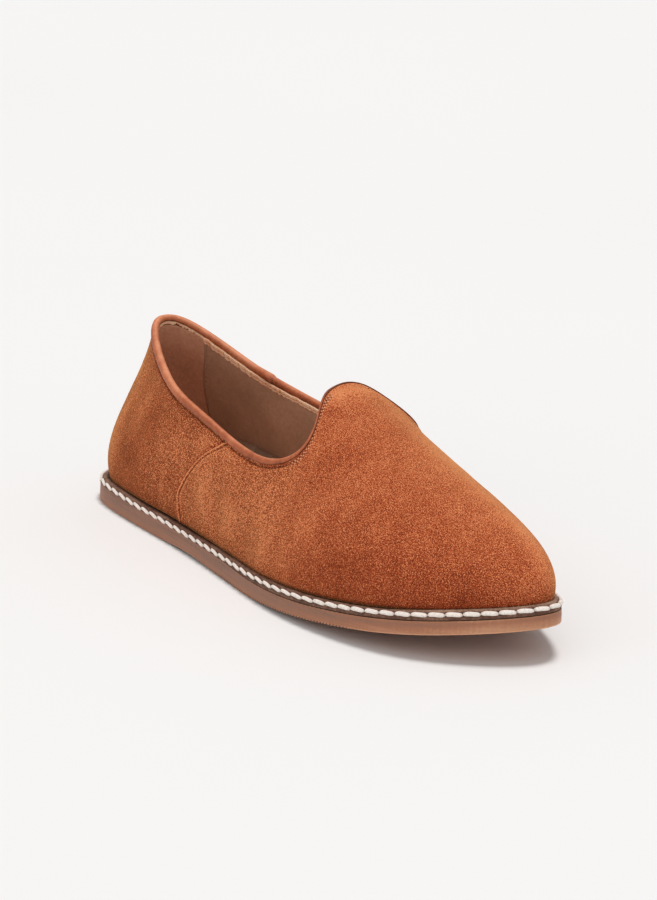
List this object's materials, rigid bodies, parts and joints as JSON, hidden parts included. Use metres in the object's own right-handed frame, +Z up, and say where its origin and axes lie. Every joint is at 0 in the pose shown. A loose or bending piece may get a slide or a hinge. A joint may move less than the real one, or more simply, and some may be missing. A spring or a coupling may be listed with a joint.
{
  "type": "flat slip-on shoe",
  "caption": "Flat slip-on suede shoe for the right foot, with an almond toe, a rounded tongue, a bound topline, a stitched leather welt and a thin rubber sole.",
  "frame": {"origin": "centre of the shoe's plan box, on the floor plane under the heel and forefoot", "axes": "+X towards the toe, +Y towards the inner side of the right foot, +Z up"},
  "size_m": [0.2592, 0.0866, 0.0772],
  "materials": {
    "rubber_sole": "matt gum rubber with faint moulding lines along its side",
    "welt_leather": "dark brown leather rim with off-white lockstitch",
    "insole_leather": "smooth tan sock leather over a footbed that is raised under the heel",
    "suede": "rust suede with a short brushed nap",
    "binding_leather": "smooth tan leather with a soft sheen"
  },
  "bodies": {
    "root": {"outsole": "rubber_sole", "welt": "welt_leather", "insole": "insole_leather", "upper": "suede", "topline_binding": "binding_leather"}
  },
  "joints": []
}
